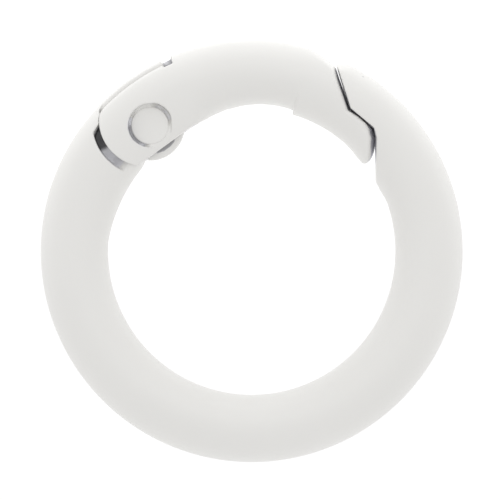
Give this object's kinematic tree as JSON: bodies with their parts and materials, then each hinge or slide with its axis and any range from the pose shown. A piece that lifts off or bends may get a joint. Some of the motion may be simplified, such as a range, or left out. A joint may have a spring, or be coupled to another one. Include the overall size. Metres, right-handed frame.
{
  "type": "spring gate ring",
  "caption": "Round spring gate ring: a cast C-shaped body closed by a sprung, riveted gate that swings inwards to let a strap or loop in.",
  "frame": {"origin": "centre of the ring, in the middle of its thickness", "axes": "+Z along the ring's axis and the hinge axis, out of the face that is up when the ring lies flat; +Y across the ring towards the gate; +X to the right, so that the hinge is up and left of the centre and the latch is up and right of it"},
  "size_m": [0.0368, 0.0368, 0.0058],
  "materials": {
    "body_paint": "satin white sprayed paint over nickel-plated zinc casting",
    "gate_paint": "satin white sprayed paint over nickel-plated zinc casting",
    "rivet_paint": "satin white sprayed paint over a plated steel rivet",
    "spring_steel": "bare drawn spring wire"
  },
  "bodies": {
    "ring": {"ring_body": "body_paint", "gate_spring": "spring_steel"},
    "swing_gate": {"gate": "gate_paint", "hinge_rivet": "rivet_paint"}
  },
  "joints": [
    {"name": "gate_hinge", "type": "hinge", "parent": "ring", "child": "swing_gate", "pos_m": [-0.00882, 0.01089, 0], "axis": [0, 0, -1], "range_deg": [0, 80], "stiffness_Nm_per_rad": 0.02, "springref_deg": -45.84, "deforming": ["gate_spring"]}
  ]
}
